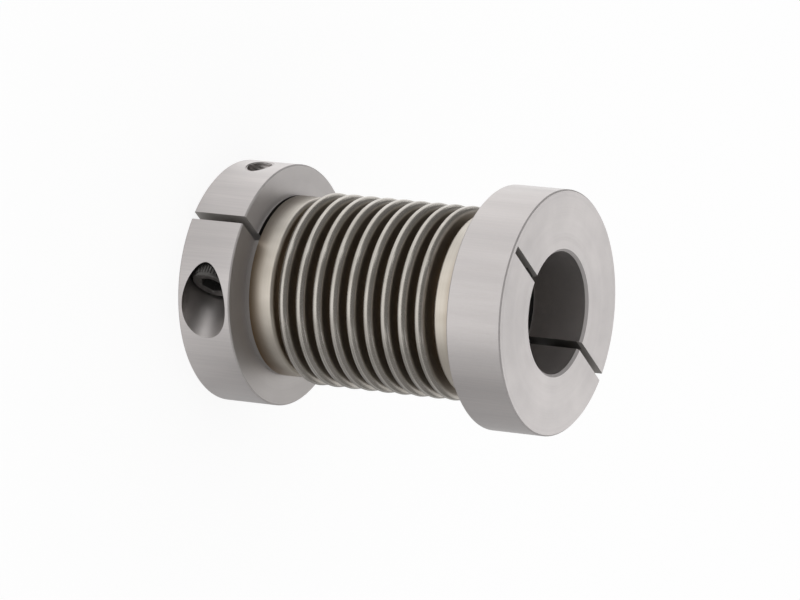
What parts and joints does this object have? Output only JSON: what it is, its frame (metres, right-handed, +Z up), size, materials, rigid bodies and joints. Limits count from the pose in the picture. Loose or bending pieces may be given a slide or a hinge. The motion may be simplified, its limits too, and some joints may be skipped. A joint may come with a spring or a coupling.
{
  "type": "bellows coupling",
  "caption": "Metal bellows shaft coupling with a slit clamp hub and cross screw at each end, around one plain through bore.",
  "frame": {"origin": "centre of the lower hub's end face, where the coupling stands, on the bore's axis", "axes": "+Z up along the bore's axis to the other hub; +X along the slit to the lower hub's open side; +Y out of both screws' counterbores"},
  "size_m": [0.056, 0.056, 0.0836],
  "materials": {
    "hub_aluminium": "fine turned, satin",
    "bellows_steel": "formed stainless steel, satin",
    "screw_steel": "black oxide"
  },
  "bodies": {
    "root": {"lower_hub": "hub_aluminium", "upper_hub": "hub_aluminium", "bellows": "bellows_steel", "lower_clamp_screw": "screw_steel", "upper_clamp_screw": "screw_steel"}
  },
  "joints": []
}
